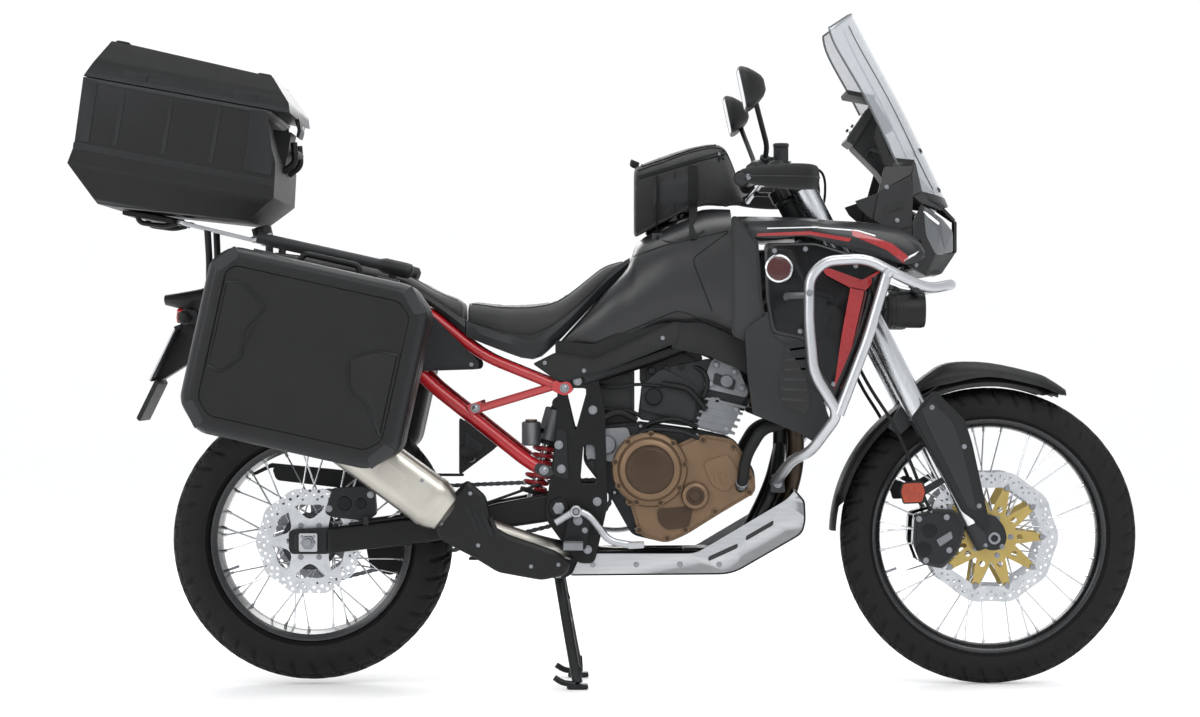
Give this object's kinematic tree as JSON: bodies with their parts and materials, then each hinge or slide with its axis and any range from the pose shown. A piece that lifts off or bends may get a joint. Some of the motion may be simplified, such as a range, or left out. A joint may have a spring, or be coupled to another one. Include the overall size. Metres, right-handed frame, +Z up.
{
  "type": "adventure motorcycle",
  "caption": "Adventure motorcycle with tall screen, crash bars, hard side cases, top case and tank bag, parked on its centre stand; wheels, steering, stands and case lids move.",
  "frame": {"origin": "On the floor, centred under the motorcycle's box.", "axes": "+X forward, +Y to the rider's left, +Z up."},
  "size_m": [2.454, 0.98, 1.5635],
  "materials": {
    "black_plastic": "fine grain",
    "luggage_plastic": "grained",
    "tank_black": "matt",
    "frame_black": "satin",
    "frame_red": "gloss",
    "engine_grey": "cast",
    "engine_bronze": "satin",
    "bare_aluminium": "brushed",
    "silver_steel": "satin",
    "exhaust_steel": "heat tinted",
    "gold_metal": "anodised",
    "rim_black": "satin",
    "tyre_rubber": "matt",
    "seat_cover": "matt",
    "bag_fabric": "woven",
    "lamp_lens": "clear",
    "lamp_black": "gloss",
    "smoke_screen": "tinted"
  },
  "bodies": {
    "chassis": {"fairings": "black_plastic", "tail_unit": "black_plastic", "pannier_bodies": "luggage_plastic", "footpegs": "silver_steel", "luggage_rack": "bare_aluminium", "cooling": "engine_grey", "side_panels": "black_plastic", "main_frame": "frame_black", "subframe": "frame_red", "engine_block": "engine_grey", "engine_covers": "engine_bronze", "cylinder_head": "engine_grey", "fuel_tank": "tank_black", "front_cowl": "black_plastic", "headlamps": "lamp_lens", "windscreen": "smoke_screen", "instrument_panel": "black_plastic", "crash_bars": "silver_steel", "fog_lamps": "lamp_black", "skid_plate": "bare_aluminium", "exhaust_pipes": "exhaust_steel", "heat_shield": "black_plastic", "silencer": "silver_steel", "swingarm": "frame_black", "rear_axle": "silver_steel", "shock_absorber": "engine_grey", "drive_chain": "silver_steel", "rear_caliper": "frame_black", "rider_seat": "seat_cover", "pillion_seat": "seat_cover", "grab_rails": "black_plastic", "top_case_body": "luggage_plastic", "foot_levers": "bare_aluminium", "tank_bag": "bag_fabric"},
    "steering": {"front_fork": "frame_black", "triple_clamps": "frame_black", "handlebar": "frame_black", "hand_controls": "black_plastic", "hand_guards": "black_plastic", "mirrors": "frame_black", "front_fender": "black_plastic", "fork_guards": "black_plastic", "front_calipers": "frame_black", "front_axle": "silver_steel"},
    "front_wheel": {"front_tyre": "tyre_rubber", "front_rim": "rim_black", "front_discs": "gold_metal"},
    "rear_wheel": {"rear_tyre": "tyre_rubber", "rear_rim": "rim_black", "rear_disc": "silver_steel", "rear_sprocket": "silver_steel"},
    "centre_stand": {"centre_stand": "frame_black"},
    "side_stand": {"side_stand": "frame_black"},
    "top_case_lid": {"top_case_lid": "luggage_plastic"},
    "right_pannier_lid": {"right_pannier_lid": "luggage_plastic"},
    "left_pannier_lid": {"left_pannier_lid": "luggage_plastic"}
  },
  "joints": [
    {"name": "steering", "type": "hinge", "parent": "chassis", "child": "steering", "pos_m": [0.8321, 0, 0.3196], "axis": [-0.454, 0, 0.891], "range_deg": [-40, 40]},
    {"name": "front_wheel_spin", "type": "hinge", "parent": "steering", "child": "front_wheel", "pos_m": [0.882, 0, 0.345], "axis": [0, 1, 0], "continuous": true},
    {"name": "rear_wheel_spin", "type": "hinge", "parent": "chassis", "child": "rear_wheel", "pos_m": [-0.693, 0, 0.336], "axis": [0, 1, 0], "continuous": true},
    {"name": "centre_stand_fold", "type": "hinge", "parent": "chassis", "child": "centre_stand", "pos_m": [-0.12, 0, 0.262], "axis": [0, 1, 0], "range_deg": [0, 95]},
    {"name": "side_stand_fold", "type": "hinge", "parent": "chassis", "child": "side_stand", "pos_m": [-0.06, 0.176, 0.28], "axis": [0, -1, 0], "range_deg": [0, 100]},
    {"name": "top_case_lid_hinge", "type": "hinge", "parent": "chassis", "child": "top_case_lid", "pos_m": [-1.19833, 0, 1.39687], "axis": [0, -1, 0], "range_deg": [0, 80]},
    {"name": "right_pannier_lid_hinge", "type": "hinge", "parent": "chassis", "child": "right_pannier_lid", "pos_m": [-0.71745, -0.43, 0.55298], "axis": [0.9763, 0, -0.2164], "range_deg": [0, 70]},
    {"name": "left_pannier_lid_hinge", "type": "hinge", "parent": "chassis", "child": "left_pannier_lid", "pos_m": [-0.71745, 0.43, 0.55298], "axis": [-0.9763, 0, 0.2164], "range_deg": [0, 70]}
  ]
}
